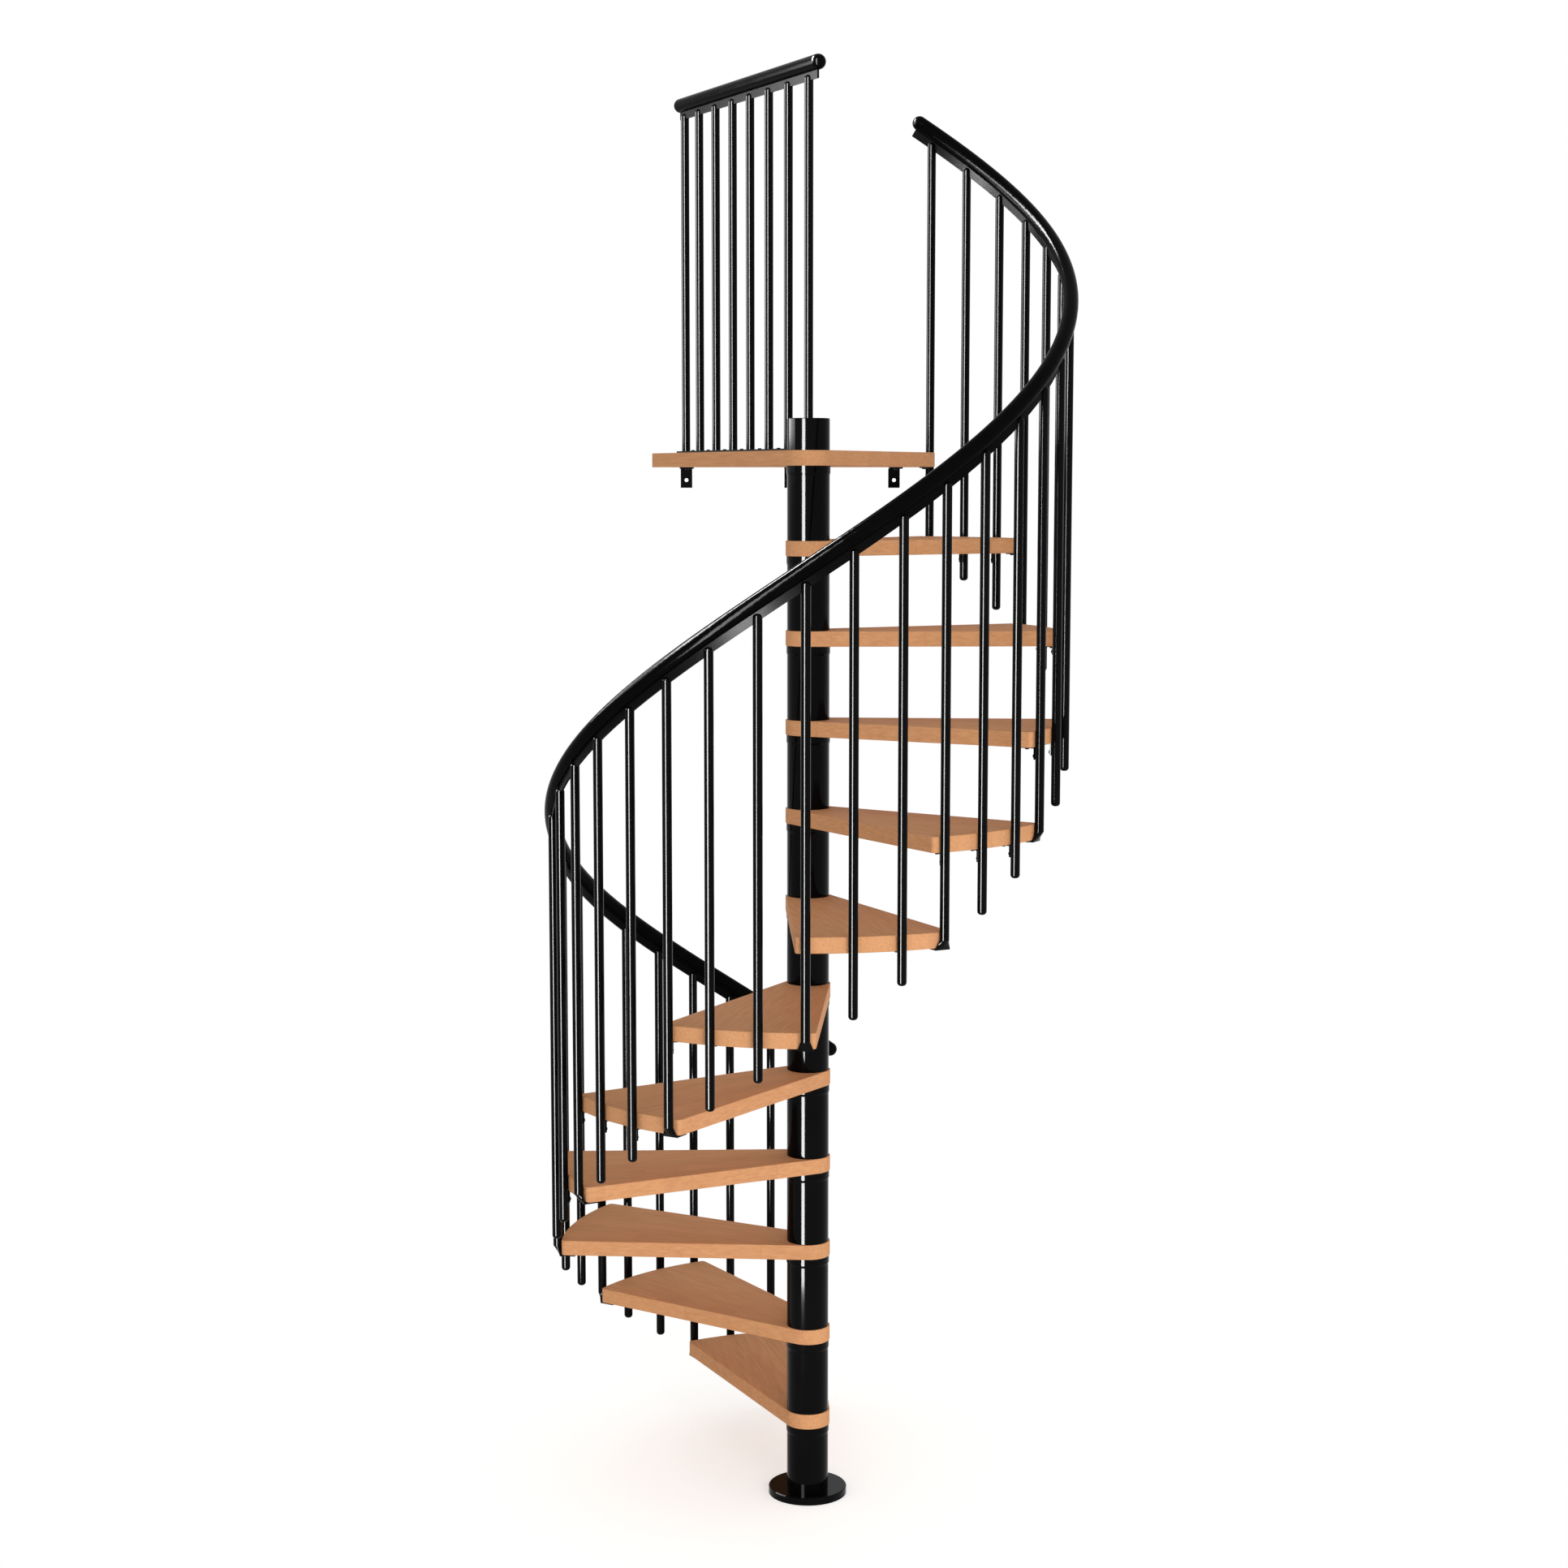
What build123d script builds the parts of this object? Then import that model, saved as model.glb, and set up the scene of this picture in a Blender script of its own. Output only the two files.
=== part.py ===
"""Spiral staircase: a steel column, eleven wooden wedge treads, a landing, and a helical balustrade.

Frame: the origin is the centre of the base on the floor, +Z is up, and the landing's straight back
edge runs along X at the +Y side. Seen from above the stair climbs counter-clockwise. Millimetres.
"""
import os
from math import atan2, cos, degrees, radians, sin, sqrt

from build123d import *

# Climb
rise = 210.0
tread_count = 11
tread_turn = 30.0
first_bearing = 104.5

# Treads: wedges that wrap round the column with a round hub
tread_thick = 36.0
tread_radius = 593.5
hub_radius = 53.5
side_angle = 12.05
corner_round = 10.0
edge_round = 2.0

# Column: a pole through every hub, spacer tubes between the treads, a levelling collar under each
pole_radius = 30.0
pole_wall = 4.0
bore_clear = 0.3
tube_radius = 50.0
tube_wall = 3.0
collar_lip = 1.6
collar_taper = 6.0
collar_height = 22.0
column_above = 66.0
cap_thick = 8.0
cap_chamfer = 1.5

# Base: a bolted steel plate under a thin rosette
plate_radius = 82.0
plate_thick = 8.0
anchor_count = 4
anchor_circle_radius = 66.0
anchor_hole_radius = 5.5
rosette_radius = 94.5
rosette_height = 18.0
rosette_wall = 3.0
rosette_chamfer = 2.0
rosette_clear = 0.3

# Landing: a wedge with a straight back edge, and an arc at its first corner like a tread's
landing_depth = 706.0
landing_left_bearing = 116.5
landing_right_back = 308.0
landing_arc_turn = 5.0

# Landing brackets: angles under the back edge with a screw hole in the hanging leg
angle_count = 3
angle_pitch = 269.5
angle_middle_x = -47.5
angle_width = 30.0
angle_leg = 53.0
angle_seat = 60.0
angle_seat_width = 36.0
angle_thick = 4.0
angle_hole_radius = 5.0
angle_hole_drop = 33.0

# Balusters: round rods just outside the treads' edges, three to a tread, all on one helix
rod_radius = 10.6
rod_clear = 0.3
rod_round = 8.0
side_rod_turn = 5.2
rod_foot_drop = 40.3
rod_rail_gap = 4.9

# Corner baluster's foot: pressed flat to its inner side and turned in under the lower tread
foot_width = 37.0
foot_thick = 4.0
foot_reach = 37.4
foot_flare = 19.0
foot_hole_radius = 3.5
foot_hole_inset = 15.0

# Rod brackets: small angles under the treads' edges
clip_width = 10.0
clip_thick = 3.0
clip_drop = 28.0
clip_seat = 36.0

# Handrail: a round grooved rail pressed on a flat band that the balusters' slots hold
rail_radius = 18.0
rail_height = 1003.5
rail_start_turn = 5.0
rail_end_turn = 3.25
band_thick = 5.0
band_show = 18.4
groove_depth = 6.0
fit_clear = 0.3

# Landing balustrade: rods on a flat strip, the first one on the column's top
row_bearing = 115.7
strip_width = 40.0
strip_thick = 5.0
strip_gap = 1.0
strip_past = 16.0
row_length = 727.0
row_shares = (0.0, 0.152, 0.302, 0.450, 0.592, 0.734, 0.875, 1.0)
row_rail_height = 879.0
row_rail_start = 49.0
row_rail_past = 25.0

# One overrun serves every cut
over = 2.0

landing_level = rise * (tread_count + 1)
rod_circle = tread_radius + rod_clear + rod_radius
slope = degrees(atan2(rise, radians(tread_turn) * rod_circle))
side_length = sqrt(tread_radius**2 - hub_radius**2)
rod_top_height = rail_height - rail_radius / cos(radians(slope)) - rod_rail_gap


standing = (Align.CENTER, Align.CENTER, Align.MIN)


def polar(radius, angle, z=0.0):
    return Vector(radius * cos(radians(angle)), radius * sin(radians(angle)), z)


def around(angle, z=0.0):
    return Location((0, 0, z), (0, 0, angle))


def save(node, *solids):
    shape = solids[0] if len(solids) == 1 else Compound(children=list(solids))
    shape.label = node
    export_step(shape, f"parts/{node}.step")


def tread_level(number):
    return rise * number


def tread_bearing(number):
    return first_bearing + tread_turn * (number - 1)


def rounded_slab(outline, sharp, thick):
    """A wooden slab from a closed outline: given corners rounded, all rims eased, bored for the pole."""
    slab = extrude(outline, amount=thick)
    uprights = slab.edges().filter_by(Axis.Z)
    corners = [uprights.sort_by_distance(point + Vector(0, 0, thick / 2))[0] for point in sharp]
    slab = fillet(corners, corner_round)
    rims = [f.outer_wire().edges() for f in slab.faces().filter_by(Axis.Z)]
    slab = fillet([e for rim in rims for e in rim], edge_round)
    bore = Cylinder(pole_radius + bore_clear, thick + 2 * over, align=standing)
    return (slab - Pos(0, 0, -over) * bore).solid()


def tread_solid():
    left = polar(hub_radius, side_angle + 90)
    right = polar(hub_radius, -side_angle - 90)
    left_end = left + polar(side_length, side_angle)
    right_end = right + polar(side_length, -side_angle)
    lines = [
        Line(left, left_end),
        ThreePointArc(left_end, (tread_radius, 0), right_end),
        Line(right_end, right),
        ThreePointArc(right, (-hub_radius, 0), left),
    ]
    return rounded_slab(make_face(Wire(lines)), (left_end, right_end), tread_thick)


def landing_solid():
    right_bearing = tread_bearing(tread_count + 1) - side_angle
    left = polar(hub_radius, landing_left_bearing + 90)
    right = polar(hub_radius, right_bearing - 90)
    right_end = right + polar(side_length, right_bearing)
    arc_start = degrees(atan2(right_end.Y, right_end.X))
    arc_end = polar(tread_radius, arc_start + landing_arc_turn)
    back_right = Vector(landing_right_back, landing_depth)
    run = (landing_depth - left.Y) / sin(radians(landing_left_bearing))
    back_left = left + polar(run, landing_left_bearing)
    hub_mid = (left + right).normalized() * hub_radius
    lines = [
        Line(right, right_end),
        ThreePointArc(right_end, polar(tread_radius, arc_start + landing_arc_turn / 2), arc_end),
        Line(arc_end, back_right),
        Line(back_right, back_left),
        Line(back_left, left),
        ThreePointArc(left, hub_mid, right),
    ]
    return rounded_slab(make_face(Wire(lines)), (right_end, back_right, back_left), tread_thick)


def ring(outer, inner, height):
    return extrude(Circle(outer) - Circle(inner), amount=height)


def collar_solid():
    """Levelling collar: it swells from the tube below it to a lip under the tread."""
    bore = pole_radius + bore_clear
    lip = tube_radius + collar_lip
    side = ((tube_radius, 0), (lip, collar_taper), (lip, collar_height))
    profile = Polyline((bore, 0), *side, (bore, collar_height), close=True)
    return revolve(Plane.XZ * make_face(profile), Axis.Z)


def helix_path(start, end, height_at_zero_turn):
    """Helix on the balusters' circle from one bearing to another; the height is that at first_rod."""
    turn = end - start
    path = Helix(pitch=rise * 360 / tread_turn, height=rise * turn / tread_turn, radius=rod_circle)
    z = height_at_zero_turn + rise * (start - first_rod) / tread_turn
    return around(start, z) * path


def across(path, at):
    """Plane across a path: its x looks in at the column, its y up from the slope."""
    point = path @ at
    inward = Vector(-point.X, -point.Y).normalized()
    return Plane(origin=point, x_dir=inward, z_dir=path % at)


def rail_section():
    groove = Pos(0, -rail_radius) * Rectangle(band_thick + 2 * fit_clear, 2 * groove_depth)
    return Circle(rail_radius) - groove


def band_section():
    height = band_show + groove_depth - fit_clear
    return Pos(0, -rail_radius - band_show + height / 2) * Rectangle(band_thick, height)


def end_cap(plane):
    """Domed plug on a rail's end, bulging out along the plane's normal."""
    return (plane * Sphere(rail_radius, arc_size1=0, align=standing)).solid()


first_rod = first_bearing - tread_turn / 2
band_drop = (rail_radius + band_show) / cos(radians(slope))


def rod_slot(bearing, level):
    """Cutter for the band's slot through a rod's top, tilted with the helix; level is the band's low edge."""
    tall = band_drop + rod_radius
    wide = 4 * rod_radius
    cutter = Box(band_thick + 2 * fit_clear, wide, tall, align=standing)
    tilt = Location((rod_circle, 0, 0), (slope, 0, 0))
    return around(bearing, level - fit_clear / cos(radians(slope))) * tilt * cutter


def rod_bearing(index):
    """Bearing of the rod with this index on the helix: every third stands at a corner."""
    step, place = divmod(index, 3)
    corner = first_rod + tread_turn * step
    middle = corner + tread_turn / 2
    return (corner, middle - side_rod_turn, middle + side_rod_turn)[place]


def rod_height(index, at_first):
    return at_first + rise * (rod_bearing(index) - first_rod) / tread_turn


def rod_body(bottom, top, rounded):
    """Round rod with rounded ends, or a rounded top alone."""
    body = Cylinder(rod_radius, top - bottom, align=standing)
    ends = body.edges().filter_by(GeomType.CIRCLE).sort_by(Axis.Z)
    body = fillet(ends if rounded else ends[-1:], rod_round)
    return Pos(0, 0, bottom) * body


def side_rod(index):
    """Rod at the middle of a tread's edge, hanging past it by its share of the climb."""
    bearing = rod_bearing(index)
    step = rise * (index / 3)
    bottom = step - rod_foot_drop
    top = rod_height(index, rod_top_height)
    body = Pos(rod_circle, 0, 0) * rod_body(bottom, top, True)
    slot = rod_slot(bearing, rod_height(index, rail_height - band_drop))
    return (around(bearing) * body - slot).solid()


def corner_rod(index):
    """Rod at a corner: its foot is pressed flat and turned in under the lower tread, or on the floor."""
    bearing = rod_bearing(index)
    seat = tread_level(index // 3) - tread_thick if index else foot_thick
    top = rod_height(index, rod_top_height)
    neck = seat + foot_flare
    shaft = rod_body(neck, top, False)
    blade = foot_thick - rod_radius
    flat = Pos(blade, 0) * Rectangle(foot_thick, foot_width, align=(Align.MAX, Align.CENTER))
    flare = loft([Pos(0, 0, seat - foot_thick) * flat, Pos(0, 0, neck) * Circle(rod_radius)])
    tongue = Rectangle(foot_reach, foot_width, align=(Align.MAX, Align.CENTER))
    sole = extrude(Pos(blade, 0) * tongue, amount=foot_thick)
    hole = Cylinder(foot_hole_radius, foot_thick + 2 * over)
    sole = sole - Pos(blade + foot_hole_inset - foot_reach, 0, foot_thick / 2) * hole
    body = Pos(rod_circle, 0, 0) * (shaft + flare + Pos(0, 0, seat - foot_thick) * sole)
    slot = rod_slot(bearing, rod_height(index, rail_height - band_drop))
    return (around(bearing) * body - slot).solid()


def clip(bearing, level):
    """Small angle under a tread's edge that carries a rod; level is the tread's underside."""
    profile = Polyline(
        (tread_radius, 0), (tread_radius, -clip_drop), (tread_radius - clip_thick, -clip_drop),
        (tread_radius - clip_thick, -clip_thick), (tread_radius - clip_seat, -clip_thick),
        (tread_radius - clip_seat, 0), close=True,
    )
    face = Plane.XZ * make_face(profile)
    body = extrude(face, amount=clip_width / 2, both=True)
    return (around(bearing, level) * body).solid()


os.makedirs("parts", exist_ok=True)

# Treads
wedge = tread_solid()
for number in range(1, tread_count + 1):
    placed = around(tread_bearing(number), tread_level(number) - tread_thick) * wedge
    save(f"tread_{number:02d}", placed)

# Landing
save("landing", Pos(0, 0, landing_level - tread_thick) * landing_solid())

# Base
plate = extrude(Circle(plate_radius), amount=plate_thick)
anchors = PolarLocations(anchor_circle_radius, anchor_count)
plate = plate - [spot * Cylinder(anchor_hole_radius, 4 * plate_thick) for spot in anchors]
save("base_plate", plate.solid())
outer = Cylinder(rosette_radius, rosette_height, align=standing)
outer = chamfer(outer.edges().group_by(Axis.Z)[-1], rosette_chamfer)
hollow = Cylinder(rosette_radius - rosette_wall, rosette_height - rosette_wall, align=standing)
neck_hole = Cylinder(tube_radius + rosette_clear, 4 * rosette_height)
save("base_rosette", (outer - hollow - neck_hole).solid())

# Column
top_level = landing_level + column_above
pole = ring(pole_radius, pole_radius - pole_wall, top_level - plate_thick)
save("column_pole", (Pos(0, 0, plate_thick) * pole).solid())
tubes = []
collars = []
for number in range(1, tread_count + 2):
    floor_level = tread_level(number - 1) if number > 1 else plate_thick
    under = tread_level(number) - tread_thick
    tube = ring(tube_radius, tube_radius - tube_wall, under - collar_height - floor_level)
    tubes.append((Pos(0, 0, floor_level) * tube).solid())
    collars.append((Pos(0, 0, under - collar_height) * collar_solid()).solid())
head = ring(tube_radius, tube_radius - tube_wall, column_above)
tubes.append((Pos(0, 0, landing_level) * head).solid())
save("column_tubes", *tubes)
save("column_collars", *collars)
lid = Cylinder(tube_radius, cap_thick, align=standing)
lid = chamfer(lid.edges().group_by(Axis.Z)[-1], cap_chamfer)
save("column_cap", (Pos(0, 0, top_level) * lid).solid())

# Helical balustrade
save("start_baluster", corner_rod(0))
for number in range(1, tread_count + 1):
    group = 3 * number
    save(f"balusters_{number:02d}", side_rod(group - 2), side_rod(group - 1), corner_rod(group))
clips = []
for index in range(3 * tread_count + 1):
    under = tread_level(index // 3 + 1) - tread_thick
    clips.append(clip(rod_bearing(index), under))
save("rod_clips", *clips)

rail_from = first_rod - rail_start_turn
rail_to = rod_bearing(3 * tread_count) + rail_end_turn
path = helix_path(rail_from, rail_to, rail_height)
start_plane = across(path, 0)
end_plane = across(path, 1)
save("handrail", sweep(start_plane * rail_section(), path=path, is_frenet=True).solid())
save("handrail_band", sweep(start_plane * band_section(), path=path, is_frenet=True).solid())

# Landing balustrade
row_tilt = Location((0, 0, 0), (0, 0, row_bearing))
strip_start = tube_radius + strip_gap
strip_run = row_length + strip_past - strip_start
strip = Box(strip_run, strip_width, strip_thick, align=(Align.MIN, Align.CENTER, Align.MIN))
save("landing_strip", (row_tilt * Pos(strip_start, 0, landing_level) * strip).solid())
row_axis_z = landing_level + row_rail_height
band_low = row_axis_z - rail_radius - band_show
row_top = row_axis_z - rail_radius - rod_rail_gap
row = []
for share in row_shares:
    foot = landing_level + strip_thick if share else top_level + cap_thick
    rod = rod_body(foot, row_top, False)
    slot = Box(4 * rod_radius, band_thick + 2 * fit_clear, row_top - band_low + 2 * fit_clear)
    rod = rod - Pos(0, 0, (row_top + band_low) / 2) * slot
    row.append((row_tilt * Pos(row_length * share, 0, 0) * rod).solid())
save("landing_balusters", *row)
row_plane = Plane(origin=(-row_rail_start, 0, row_axis_z), x_dir=(0, 1, 0), z_dir=(1, 0, 0))
row_run = row_rail_start + row_length + row_rail_past
row_rail = extrude(row_plane * rail_section(), amount=row_run)
save("landing_rail", (row_tilt * row_rail).solid())
row_band = extrude(row_plane * band_section(), amount=row_run)
save("landing_band", (row_tilt * row_band).solid())
far_plane = Plane(origin=(row_length + row_rail_past, 0, row_axis_z), x_dir=(0, 1, 0), z_dir=(1, 0, 0))
near_plane = Plane(origin=(-row_rail_start, 0, row_axis_z), x_dir=(0, 1, 0), z_dir=(-1, 0, 0))
save(
    "rail_caps",
    end_cap(Plane(origin=start_plane.origin, x_dir=start_plane.x_dir, z_dir=-start_plane.z_dir)),
    end_cap(end_plane),
    (row_tilt * end_cap(near_plane)).solid(),
    (row_tilt * end_cap(far_plane)).solid(),
)

# Landing brackets
under = landing_level - tread_thick
leg = Box(angle_width, angle_thick, angle_leg, align=(Align.CENTER, Align.MAX, Align.MAX))
seat = Box(angle_seat_width, angle_seat, angle_thick, align=(Align.MIN, Align.MAX, Align.MAX))
angle = leg + Pos(-angle_width / 2, 0, 0) * seat
hole = Rot(90, 0, 0) * Cylinder(angle_hole_radius, 4 * angle_thick)
angle = angle - Pos(0, -angle_thick / 2, -angle_hole_drop) * hole
angles = []
for place in range(angle_count):
    x = angle_middle_x + angle_pitch * (place - (angle_count - 1) / 2)
    angles.append((Pos(x, landing_depth, under) * angle).solid())
save("landing_angles", *angles)
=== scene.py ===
# %% [markdown]
# # A spiral staircase in beech and black steel
# The stair is eleven wooden wedges threaded on a round steel column, with a landing on top and a
# helical handrail on thin rods. The solid shapes come ready made from the CAD model, in metres and
# with the column's foot at the origin, so the lesson is about what turns them into a picture:
# a camera, a light tent, real finishes, and the small fixings that a fitter would look for.

from math import cos, pi, radians, sin

import bpy
from mathutils import Matrix, Vector


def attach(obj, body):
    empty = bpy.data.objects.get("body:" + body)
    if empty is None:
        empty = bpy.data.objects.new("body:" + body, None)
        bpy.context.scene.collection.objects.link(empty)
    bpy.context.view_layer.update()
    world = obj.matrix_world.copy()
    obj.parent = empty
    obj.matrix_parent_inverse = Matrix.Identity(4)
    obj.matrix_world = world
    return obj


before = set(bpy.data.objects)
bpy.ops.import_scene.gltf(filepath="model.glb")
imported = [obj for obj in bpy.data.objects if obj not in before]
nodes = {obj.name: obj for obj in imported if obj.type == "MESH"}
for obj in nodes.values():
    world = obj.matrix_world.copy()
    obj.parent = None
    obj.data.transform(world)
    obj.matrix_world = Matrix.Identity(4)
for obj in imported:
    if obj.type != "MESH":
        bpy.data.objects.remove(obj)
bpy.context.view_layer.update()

# %% [markdown]
# ## Camera
# A tall thing is best taken from far off with a longish lens, so its top and its foot are seen at
# nearly the same scale. The eye is a little under the landing, which shows the tops of all the
# treads but only the edge of the landing. A lens length in millimetres goes with a 36 mm wide
# sensor, so a focal length that was measured in pixels is scaled by the picture's width.

# %% Camera
picture_width = 1932
focal_pixels = 3291.9
eye_distance = 6.2835
eye_height = 2.4485
tilt_down = 0.1129
turn_left = 0.0091

camera_data = bpy.data.cameras.new("camera")
camera_data.sensor_width = 36.0
camera_data.lens = camera_data.sensor_width * focal_pixels / picture_width
camera = bpy.data.objects.new("camera", camera_data)
camera.location = (0, -eye_distance, eye_height)
camera.rotation_euler = (pi / 2 - tilt_down, 0, turn_left)
bpy.context.scene.collection.objects.link(camera)
bpy.context.scene.camera = camera
print("lens:", round(camera_data.lens, 2), "mm")

# %% [markdown]
# ## Helpers for node trees
# Every finish below is a small tree of nodes. One function adds a node, sets what it is told to set
# and links its inputs, so a tree reads from top to bottom like a recipe. Colours are written as hex,
# the way that a paint chart gives them, and are turned to linear light once.

# %% Node and colour helpers
def linear(hex_colour):
    parts = [int(hex_colour[i:i + 2], 16) / 255 for i in (1, 3, 5)]
    light = [p / 12.92 if p <= 0.04045 else ((p + 0.055) / 1.055) ** 2.4 for p in parts]
    return (*light, 1.0)


def add(tree, kind, inputs=None, **settings):
    """Add a node; an input is a value, or another node's output socket to link from."""
    made = tree.nodes.new(kind)
    for name, value in settings.items():
        setattr(made, name, value)
    for name, value in (inputs or {}).items():
        if isinstance(value, bpy.types.NodeSocket):
            tree.links.new(value, made.inputs[name])
        else:
            made.inputs[name].default_value = value
    return made


def new_material(name):
    material = bpy.data.materials.new(name)
    material.use_nodes = True
    material.node_tree.nodes.clear()
    return material, material.node_tree


paper_white = linear("#f4f4f2")
print("white paper in linear light:", [round(part, 3) for part in paper_white])

# %% [markdown]
# ## White room
# A product like this is photographed in a white room: a pale floor, white all round, and one big
# soft lamp from the front. The world is white to the eye and to mirrors, and dimmer as a lamp, so
# that the wood keeps its colour. The Light Path node tells the two apart by the kind of ray.

# %% World
def seen_directly(tree):
    """Give 1 to the eye, also by way of a mirror or glass, and 0 to the light on matt surfaces."""
    path = add(tree, "ShaderNodeLightPath")
    seen = path.outputs["Is Camera Ray"]
    for ray in ("Is Glossy Ray", "Is Transmission Ray"):
        seen = add(tree, "ShaderNodeMath", {0: seen, 1: path.outputs[ray]},
                   operation="MAXIMUM").outputs[0]
    return seen


ambient = 0.67
pure_white = (1, 1, 1, 1)
world = bpy.data.worlds.new("white_room")
world.use_nodes = True
tree = world.node_tree
tree.nodes.clear()
level = add(tree, "ShaderNodeMapRange", {"Value": seen_directly(tree), "To Min": ambient, "To Max": 1.0})
room = add(tree, "ShaderNodeBackground", {"Color": pure_white, "Strength": level.outputs[0]})
add(tree, "ShaderNodeOutputWorld", {"Surface": room.outputs[0]})
bpy.context.scene.world = world
bpy.context.scene.view_settings.view_transform = "Standard"
print("room light:", ambient)

# %% [markdown]
# ## Floor
# The floor is a disc of pale paper, a hair below the base plate. Paper in this light alone would be
# greyer than the room behind it, so it also glows a little, to the eye and in mirrors only. That
# lifts it to the room's white, and it still takes the shadow at the column's foot.

# %% Floor
floor_radius = 1.75
floor_gap = 0.0006
paper_glow = 0.43
bpy.ops.object.select_all(action="DESELECT")
bpy.ops.mesh.primitive_circle_add(vertices=96, radius=floor_radius, fill_type="NGON",
                                  location=(0, 0, -floor_gap))
floor = bpy.context.object
floor.name = "floor"
material, tree = new_material("pale_floor")
lift = add(tree, "ShaderNodeMath", {0: seen_directly(tree), 1: paper_glow}, operation="MULTIPLY")
paper = add(tree, "ShaderNodeBsdfDiffuse", {"Color": paper_white})
glow = add(tree, "ShaderNodeEmission", {"Color": pure_white, "Strength": lift.outputs[0]})
both = add(tree, "ShaderNodeAddShader", {0: paper.outputs[0], 1: glow.outputs[0]})
add(tree, "ShaderNodeOutputMaterial", {"Surface": both.outputs[0]})
floor.data.materials.append(material)
print("floor:", [round(v, 2) for v in floor.dimensions])

# %% [markdown]
# ## Lamps
# Black gloss has no colour of its own to show, so it is drawn by what it mirrors. The front softbox
# lights the wood from a little right of the camera and is kept out of the mirror images. Three more
# softboxes are there for the black alone. A tall strip, left of the camera, gives each rod and the
# column one bright line. A strip that leans back on the left draws the lines along the rails, and a
# wide panel below it gives the upper rods a soft edge and lights the landing's rail and its band.
# The coat mirrors less than a hundredth of what it sees face on, so these are far brighter than
# paper. Light linking keeps them off the wood: each shines only on the pieces in a collection, which
# is filled further down, as the black finishes are given out. The leaning strip shines on the rails
# alone, because it would grey the rods. The flat strip on the landing is left out, because it would
# mirror a whole lamp and read as silver from behind.

# %% Lamps
def polar(distance, degrees, height):
    return Vector((distance * cos(radians(degrees)), distance * sin(radians(degrees)), height))


def softbox(name, place, width, tall, glow, lean=(0, 0, 1)):
    """Area lamp that faces the column; the glow is its brightness, where white paper is 1."""
    data = bpy.data.lights.new(name, "AREA")
    data.shape = "RECTANGLE"
    data.size = width
    data.size_y = tall
    data.energy = glow * pi * width * tall
    holder = bpy.data.objects.new(name, data)
    back = Vector((place[0], place[1], 0)).normalized()
    side = Vector(lean).cross(back).normalized()
    turn = Matrix((side, back.cross(side), back)).transposed()
    holder.matrix_world = Matrix.Translation(place) @ turn.to_4x4()
    holder.visible_camera = False
    bpy.context.scene.collection.objects.link(holder)
    return holder


front = softbox("front_softbox", polar(6.6, -72, 1.2), width=3.2, tall=3.2, glow=6.9)
front.visible_glossy = False
strip = softbox("strip_softbox", polar(5.0, -116, 2.4), width=1.4, tall=9.0, glow=210)
leaning = softbox("leaning_softbox", (-2.97, 1.0, 5.27), width=1.2, tall=4.0, glow=330,
                  lean=(0.06, 0.64, 0.76))
left = softbox("left_softbox", polar(4.0, 167, 3.7), width=3.6, tall=2.2, glow=30)
black_pieces = bpy.data.collections.new("black_pieces")
black_rails = bpy.data.collections.new("black_rails")
for lamp, lit in ((strip, black_pieces), (leaning, black_rails), (left, black_pieces)):
    lamp.visible_diffuse = False
    lamp.light_linking.receiver_collection = lit
print("lamps:", [lamp.name for lamp in (front, strip, leaning, left)])

# %% [markdown]
# ## Beech: the staves
# The treads are cut from stave-glued beech: sticks of wood about 45 mm wide, side by side, each with
# its own tint. Dividing a place by the stick's size and rounding down numbers the rows, and the
# sticks in a row. White noise turns the numbers into a tint, so a whole stick has one colour, and
# the rows start at different places, so the sticks' ends don't line up.

# %% Staves
stave_width = 0.046
stave_length = 0.90
first_row_shift = 0.37
# A glue line is 0.3 mm wide. It is drawn three times as wide, so that it shows.
joint_width = 0.0009
joint_depth = 0.14


def staves(tree, along, seed):
    """Return the tint of each point's own stick, and how strongly a joint marks the point."""
    parts = add(tree, "ShaderNodeSeparateXYZ", {"Vector": along})
    row = add(tree, "ShaderNodeMath", {0: parts.outputs["Y"], 1: stave_width},
              operation="DIVIDE").outputs[0]
    row = add(tree, "ShaderNodeMath", {0: row, 1: seed + first_row_shift}, operation="ADD").outputs[0]
    row_number = add(tree, "ShaderNodeMath", {0: row}, operation="FLOOR").outputs[0]
    shift = add(tree, "ShaderNodeTexWhiteNoise", {"W": row_number}, noise_dimensions="1D")
    run = add(tree, "ShaderNodeMath", {0: parts.outputs["X"], 1: stave_length},
              operation="DIVIDE").outputs[0]
    run = add(tree, "ShaderNodeMath", {0: run, 1: shift.outputs["Value"]}, operation="ADD").outputs[0]
    run_number = add(tree, "ShaderNodeMath", {0: run}, operation="FLOOR").outputs[0]
    stick = add(tree, "ShaderNodeCombineXYZ", {"X": row_number, "Y": run_number, "Z": float(seed)})
    tint = add(tree, "ShaderNodeTexWhiteNoise", {"Vector": stick.outputs[0]}, noise_dimensions="3D")

    part = add(tree, "ShaderNodeMath", {0: row}, operation="FRACT").outputs[0]
    off_middle = add(tree, "ShaderNodeMath", {0: part, 1: 0.5}, operation="SUBTRACT").outputs[0]
    off_middle = add(tree, "ShaderNodeMath", {0: off_middle}, operation="ABSOLUTE").outputs[0]
    joint_from = 0.5 - joint_width / 2 / stave_width
    joint = add(tree, "ShaderNodeMapRange", {"Value": off_middle, "From Min": joint_from,
                                             "From Max": 0.5, "To Max": joint_depth})
    return tint, joint.outputs[0]


print("stick:", stave_width, "by", stave_length, "m")

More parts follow.
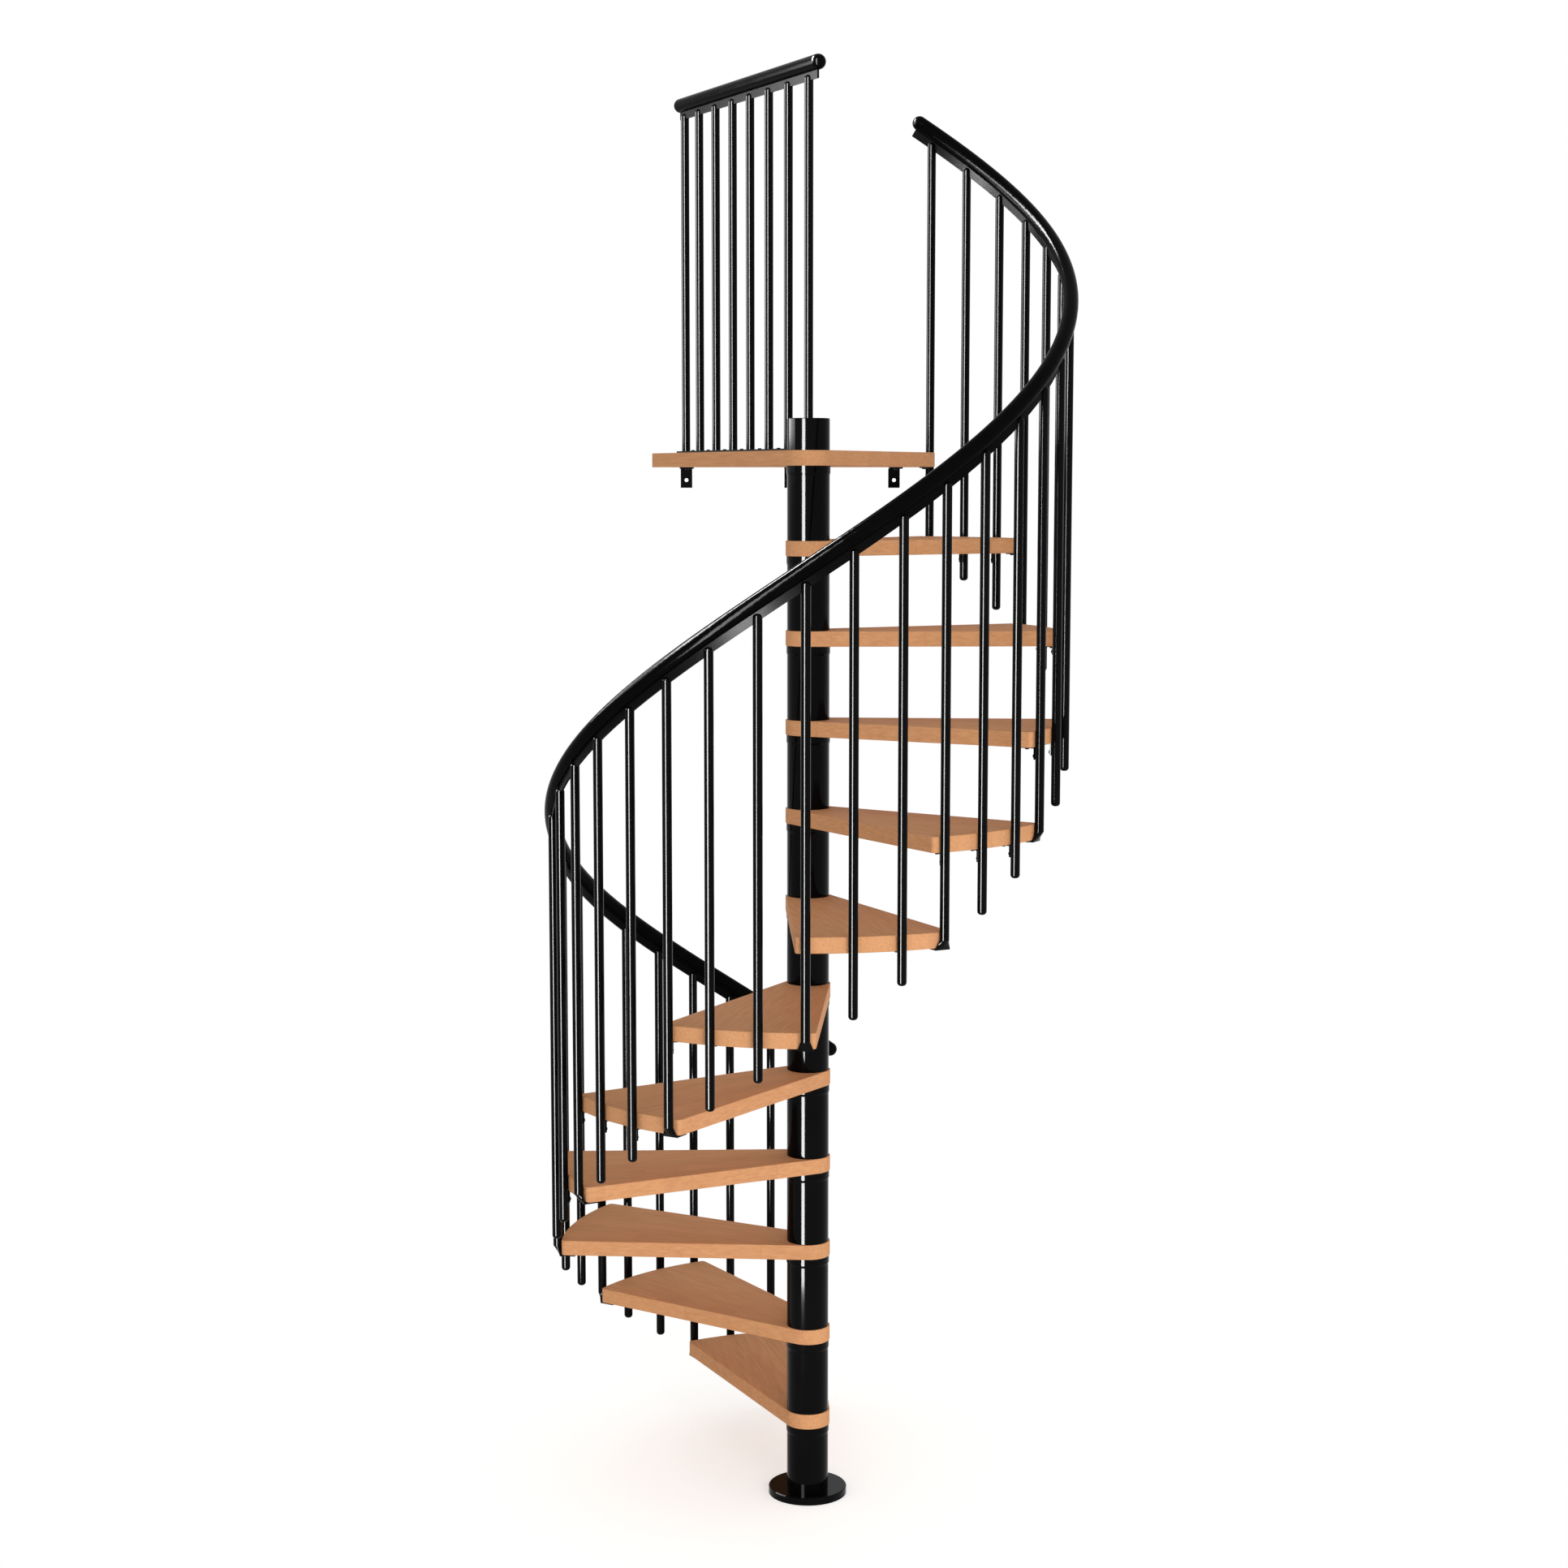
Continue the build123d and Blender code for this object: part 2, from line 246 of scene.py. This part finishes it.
# %% [markdown]
# ## Beech: the grain
# Grain is noise that is stretched along the stave. Each stick takes it from a place of its own, so
# the streaks stop at a joint as they do in real wood. Cut across at the tread's outer edge, the same
# noise gives end grain. Beech is known by its rays, short dark flecks that lie along the grain.

# %% Grain
streak_length = 0.0909
streak_width = 0.005
# The flecks are drawn about three times their real size, so that they show.
fleck_length = 0.00833
fleck_width = 0.001
jump_reach = 3.0


def grain(tree, along, tint):
    """Return the streaks and the flecks, both from 0 to 1, of the sticks that have these tints."""
    jump = add(tree, "ShaderNodeVectorMath", {0: tint.outputs["Color"], 1: (jump_reach,) * 3},
               operation="MULTIPLY").outputs[0]
    inside = add(tree, "ShaderNodeVectorMath", {0: along, 1: jump}, operation="ADD").outputs[0]
    streak_scale = (1 / streak_length, 1 / streak_width, 1 / streak_width)
    drawn_out = add(tree, "ShaderNodeMapping", {"Vector": inside, "Scale": streak_scale}).outputs[0]
    streak = add(tree, "ShaderNodeTexNoise", {"Vector": drawn_out, "Scale": 1.0, "Detail": 3.0,
                                              "Roughness": 0.55}).outputs["Fac"]
    fleck_scale = (1 / fleck_length, 1 / fleck_width, 1 / fleck_width)
    fine = add(tree, "ShaderNodeMapping", {"Vector": inside, "Scale": fleck_scale}).outputs[0]
    ray = add(tree, "ShaderNodeTexNoise", {"Vector": fine, "Scale": 1.0, "Detail": 1.0}).outputs["Fac"]
    fleck = add(tree, "ShaderNodeMapRange", {"Value": ray, "From Min": 0.6, "From Max": 0.75})
    return streak, fleck.outputs[0]


print("streaks in a stick:", round(stave_width / streak_width))

# %% [markdown]
# ## Beech: the finish
# The wood is sanded and oiled matt, which keeps it warm and nearly without shine. The streaks set
# the tone and the roughness, the tint makes a stick lighter or darker, and the flecks and joints are
# laid over that in browns.

# %% Beech material
def beech(name, bearing, seed):
    """Stave-glued beech, sanded and oiled: warm tan, soft streaks, faint joints, hardly any shine."""
    material, tree = new_material(name)
    place = add(tree, "ShaderNodeTexCoord").outputs["Object"]
    along = add(tree, "ShaderNodeMapping", {"Vector": place, "Rotation": (0, 0, -bearing)}).outputs[0]
    tint, joint = staves(tree, along, seed)
    streak, fleck = grain(tree, along, tint)

    tone = add(tree, "ShaderNodeMapRange", {"Value": streak, "From Min": 0.3, "From Max": 0.7}).outputs[0]
    base = add(tree, "ShaderNodeMix", {"Factor": tone, "A": linear("#cd9265"), "B": linear("#dca274")},
               data_type="RGBA")
    level = add(tree, "ShaderNodeMapRange", {"Value": tint.outputs["Value"], "To Min": 0.965,
                                             "To Max": 1.035}).outputs[0]
    stick = add(tree, "ShaderNodeHueSaturation", {"Color": base.outputs["Result"], "Value": level})
    faint = add(tree, "ShaderNodeMath", {0: fleck, 1: 0.15}, operation="MULTIPLY").outputs[0]
    flecked = add(tree, "ShaderNodeMix", {"Factor": faint, "A": stick.outputs[0], "B": linear("#9a6138")},
                  data_type="RGBA")
    colour = add(tree, "ShaderNodeMix", {"Factor": joint, "A": flecked.outputs["Result"],
                                         "B": linear("#8a5833")}, data_type="RGBA")

    polish = add(tree, "ShaderNodeMapRange", {"Value": streak, "To Min": 0.70, "To Max": 0.60}).outputs[0]
    relief = add(tree, "ShaderNodeMath", {0: streak, 1: fleck}, operation="SUBTRACT").outputs[0]
    bump = add(tree, "ShaderNodeBump", {"Height": relief, "Strength": 0.25, "Distance": 0.0003}).outputs[0]
    shader = add(tree, "ShaderNodeBsdfPrincipled", {
        "Base Color": colour.outputs["Result"], "Roughness": polish, "Normal": bump,
        "IOR": 1.5, "Specular IOR Level": 0.06})
    add(tree, "ShaderNodeOutputMaterial", {"Surface": shader.outputs[0]})
    return material


print("beech tones:", "#cd9265", "#dca274")

# %% [markdown]
# ## Beech on the treads
# The staves run along each tread from the column outwards. The treads turn as they climb, so every
# one has its own material, with the pattern turned to its bearing. On the landing the staves run
# along the railing.

# %% Dress the treads and the landing
def dress(node, material):
    nodes[node].data.materials.clear()
    nodes[node].data.materials.append(material)


tread_count = 11
first_bearing = 104.5
tread_turn = 30.0
row_bearing = 115.7
for number in range(1, tread_count + 1):
    bearing = radians(first_bearing + tread_turn * (number - 1))
    dress(f"tread_{number:02d}", beech(f"beech_tread_{number:02d}", bearing, number))
dress("landing", beech("beech_landing", radians(row_bearing), tread_count + 1))
print("beech pieces:", tread_count + 1)

# %% [markdown]
# ## Black metal and black plastic
# The column, rods and brackets are steel with a gloss black powder coat, baked so smooth that it
# mirrors a lamp as one clean line. The handrail is an extruded plastic profile, a little softer in
# shine, the flat band under it is brushed out to a satin, and the plugs in the rail ends are moulded.
# All four are the same tree: a cloud of noise moves the colour and the roughness a little, the way
# that handling and dust do, and a fine noise gives the skin its grain.

# %% Black finishes
cloud_size = 0.0714


def black_skin(name, deep, light, peel, shine, gloss):
    """Black skin: nearly black, one clean reflection, and a grain of the peel's size in metres."""
    material, tree = new_material(name)
    place = add(tree, "ShaderNodeTexCoord").outputs["Object"]
    skin = add(tree, "ShaderNodeTexNoise", {"Vector": place, "Scale": 1 / peel, "Detail": 1.0})
    cloud = add(tree, "ShaderNodeTexNoise", {"Vector": place, "Scale": 1 / cloud_size,
                                             "Detail": 2.0}).outputs["Fac"]
    colour = add(tree, "ShaderNodeMix", {"Factor": cloud, "A": linear(deep), "B": linear(light)},
                 data_type="RGBA")
    rough = add(tree, "ShaderNodeMapRange", {"Value": cloud, "From Min": 0.3, "From Max": 0.7,
                                             "To Min": shine[0], "To Max": shine[1]}).outputs[0]
    bump = add(tree, "ShaderNodeBump", {"Height": skin.outputs["Fac"], "Strength": 0.02,
                                        "Distance": 0.00004}).outputs[0]
    shader = add(tree, "ShaderNodeBsdfPrincipled", {
        "Base Color": colour.outputs["Result"], "Roughness": rough, "Normal": bump,
        "IOR": 1.5, "Specular IOR Level": gloss})
    add(tree, "ShaderNodeOutputMaterial", {"Surface": shader.outputs[0]})
    return material


powder_coat = black_skin("black_powder_coat", deep="#040405", light="#080809", peel=0.012,
                         shine=(0.08, 0.10), gloss=0.05)
extruded_pvc = black_skin("black_extruded_pvc", deep="#050505", light="#0a0a0a", peel=0.016,
                          shine=(0.13, 0.16), gloss=0.010)
satin_band = black_skin("black_satin_band", deep="#050505", light="#0a0a0a", peel=0.006,
                        shine=(0.24, 0.28), gloss=0.018)
moulded_nylon = black_skin("black_moulded_nylon", deep="#060606", light="#0b0b0b", peel=0.010,
                           shine=(0.12, 0.16), gloss=0.018)
print("black finishes:", [m.name for m in (powder_coat, extruded_pvc, satin_band, moulded_nylon)])

# %% [markdown]
# ## Black on the pieces
# The rails have finishes of their own, and everything else that isn't wood is powder coated. As a
# piece is dressed it also joins the collections that the lamps shine on.

# %% Dress the black pieces
rail_finishes = {
    "handrail": extruded_pvc, "landing_rail": extruded_pvc,
    "handrail_band": satin_band, "landing_band": satin_band, "rail_caps": moulded_nylon,
}
for node in nodes:
    if node.startswith("tread") or node == "landing":
        continue
    dress(node, rail_finishes.get(node, powder_coat))
    if node != "landing_strip":
        black_pieces.objects.link(nodes[node])
    if node in rail_finishes:
        black_rails.objects.link(nodes[node])

# %% [markdown]
# ## One screw
# A fitter puts the stair together with button-head screws, and they are the one thing that is too
# small for the solid model. A cylinder is the blank. Its top rim is bevelled round, then the top
# face is inset and pushed down to make the socket for the key. Twelve sides are enough, because the
# head is 10 mm across and about ninety of them are set.

# %% Model the screw
head_radius = 0.0048
head_height = 0.0028
rim_round = 0.0016
socket_inset = 0.0008
socket_depth = 0.0014
bpy.ops.object.select_all(action="DESELECT")
bpy.ops.mesh.primitive_cylinder_add(vertices=12, radius=head_radius, depth=head_height,
                                    location=(0, 0, head_height / 2))
bpy.ops.object.transform_apply(location=True, rotation=True, scale=True)
pattern = bpy.context.object
pattern.name = "screw_pattern"


def select_top(mesh_object, parts):
    """In edit mode, select the edges or faces that lie wholly at the top."""
    bpy.ops.object.mode_set(mode="OBJECT")
    mesh = mesh_object.data
    top = max(v.co.z for v in mesh.vertices)
    for group in (mesh.vertices, mesh.edges, mesh.polygons):
        for item in group:
            item.select = False
    for item in getattr(mesh, parts):
        item.select = all(top - mesh.vertices[i].co.z < 1e-6 for i in item.vertices)
    bpy.ops.object.mode_set(mode="EDIT")


bpy.ops.object.mode_set(mode="EDIT")
bpy.ops.mesh.select_mode(type="EDGE")
select_top(pattern, "edges")
bpy.ops.mesh.bevel(offset=rim_round, segments=2, affect="EDGES")
bpy.ops.mesh.select_mode(type="FACE")
select_top(pattern, "polygons")
bpy.ops.mesh.inset(thickness=socket_inset)
bpy.ops.mesh.extrude_region_move(TRANSFORM_OT_translate={"value": (0, 0, -socket_depth)})
bpy.ops.object.mode_set(mode="OBJECT")
bpy.ops.object.shade_smooth_by_angle(angle=radians(40))
print("screw faces:", len(pattern.data.polygons))

# %% [markdown]
# ## Blackened steel
# The screws are the one bare metal here. Hot blackening in oil leaves a thin dark skin on steel, so
# it still reads as metal, only darker and with a cloudy sheen.

# %% Screw finish
cloud_spot = 0.0025
blackened_steel, tree = new_material("blackened_steel")
place = add(tree, "ShaderNodeTexCoord").outputs["Object"]
cloud = add(tree, "ShaderNodeTexNoise", {"Vector": place, "Scale": 1 / cloud_spot,
                                         "Detail": 2.0}).outputs["Fac"]
colour = add(tree, "ShaderNodeMix", {"Factor": cloud, "A": linear("#161617"), "B": linear("#242426")},
             data_type="RGBA")
sheen = add(tree, "ShaderNodeMapRange", {"Value": cloud, "To Min": 0.34, "To Max": 0.48}).outputs[0]
shader = add(tree, "ShaderNodeBsdfPrincipled", {"Base Color": colour.outputs["Result"], "Metallic": 1.0,
                                                "Roughness": sheen})
add(tree, "ShaderNodeOutputMaterial", {"Surface": shader.outputs[0]})
print("screw finish:", blackened_steel.name)

# %% [markdown]
# ## Setting the screws
# Each set of screws is a list of places and of ways to point, worked out from the same bearings that
# the stair climbs by. Every copy has its own mesh, moved into place as data, so that the joined piece
# stays at the origin like everything else.

# %% Set and join copies
def set_screws(name, spots):
    bpy.ops.object.select_all(action="DESELECT")
    for place, way in spots:
        copy = bpy.data.objects.new(name, pattern.data.copy())
        turn = Vector((0, 0, 1)).rotation_difference(Vector(way)).to_matrix().to_4x4()
        copy.data.transform(Matrix.Translation(place) @ turn)
        bpy.context.scene.collection.objects.link(copy)
        copy.select_set(True)
    bpy.context.view_layer.objects.active = copy
    bpy.ops.object.join()
    made = bpy.context.object
    made.name = name
    made.data.materials.clear()
    made.data.materials.append(blackened_steel)
    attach(made, "root")
    print(name, len(spots), "screws", len(made.data.polygons), "faces")


print("screws are copied from:", pattern.name)

# %% [markdown]
# ## Screws of the rods
# Each rod hangs on a small angle under the tread's edge. One screw goes up into the wood, and one goes
# through the hanging leg into the rod, with its head on the stair's inner side.

# %% Screws of the rod brackets
rise = 0.210
tread_thick = 0.036
tread_radius = 0.5935
rods_per_tread = 3
first_corner = first_bearing - tread_turn / 2
side_rod_turn = 5.2
clip_thick = 0.003
clip_seat_screw = 0.572
clip_leg_drop = 0.020
up = (0, 0, 1)
down = (0, 0, -1)

bracket_spots = []
for number in range(rods_per_tread * tread_count + 1):
    step, place_in_step = divmod(number, rods_per_tread)
    turn = first_corner + tread_turn * step
    if place_in_step:
        turn += tread_turn / 2 + (-side_rod_turn, side_rod_turn)[place_in_step - 1]
    under = rise * (step + 1) - tread_thick
    bracket_spots.append((polar(clip_seat_screw, turn, under - clip_thick), down))
    leg_place = polar(tread_radius - clip_thick, turn, under - clip_leg_drop)
    bracket_spots.append((leg_place, -polar(1, turn, 0)))
set_screws("bracket_screws", bracket_spots)

# %% [markdown]
# ## Screws of the feet
# The corner rods reach down past the next tread, and their flattened feet are screwed up into it. The
# first rod has no tread below it, so its foot is screwed down to the floor.

# %% Screws of the feet
foot_hole_radius = 0.5754
foot_thick = 0.004
foot_spots = [(polar(foot_hole_radius, first_corner, foot_thick), up)]
for step in range(1, tread_count + 1):
    under = rise * step - tread_thick
    foot_spots.append((polar(foot_hole_radius, first_corner + tread_turn * step, under - foot_thick), down))
set_screws("foot_screws", foot_spots)

# %% [markdown]
# ## Screws of the landing
# The rods on the landing stand on a flat strip, with a screw between each pair of rods. The brackets
# under the back edge have two screws each.

# %% Screws of the landing
landing_level = rise * (tread_count + 1)
strip_thick = 0.005
strip_screws = (0.082, 0.165, 0.273, 0.379, 0.482, 0.585, 0.682)
bracket_thick = 0.004
bracket_places = (-0.314, -0.0445, 0.225)
bracket_screws_back = (0.660, 0.684)
bracket_level = landing_level - tread_thick - bracket_thick

landing_spots = [(polar(run, row_bearing, landing_level + strip_thick), up) for run in strip_screws]
for across in bracket_places:
    for back in bracket_screws_back:
        landing_spots.append(((across, back, bracket_level), down))
set_screws("landing_screws", landing_spots)
bpy.data.objects.remove(pattern)
